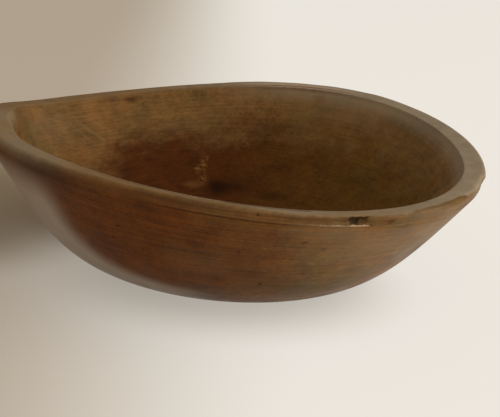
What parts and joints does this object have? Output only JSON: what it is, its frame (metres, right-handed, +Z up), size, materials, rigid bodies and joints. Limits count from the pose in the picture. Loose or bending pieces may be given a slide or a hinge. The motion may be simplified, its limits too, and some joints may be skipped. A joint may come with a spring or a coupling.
{
  "type": "dairy bowl",
  "caption": "Wide shallow wooden dairy bowl turned from one block, with a flat rim, an incised line below it and a flat base.",
  "frame": {"origin": "centre of the flat base, on the surface that the bowl stands on", "axes": "+X along the grain and the longer way across the rim, +Y across the grain, +Z up"},
  "size_m": [0.34, 0.33, 0.0983],
  "materials": {
    "aged_wood": "old pale hardwood, darkened and worn, with a soft waxed sheen"
  },
  "bodies": {
    "root": {"turned_bowl": "aged_wood"}
  },
  "joints": []
}
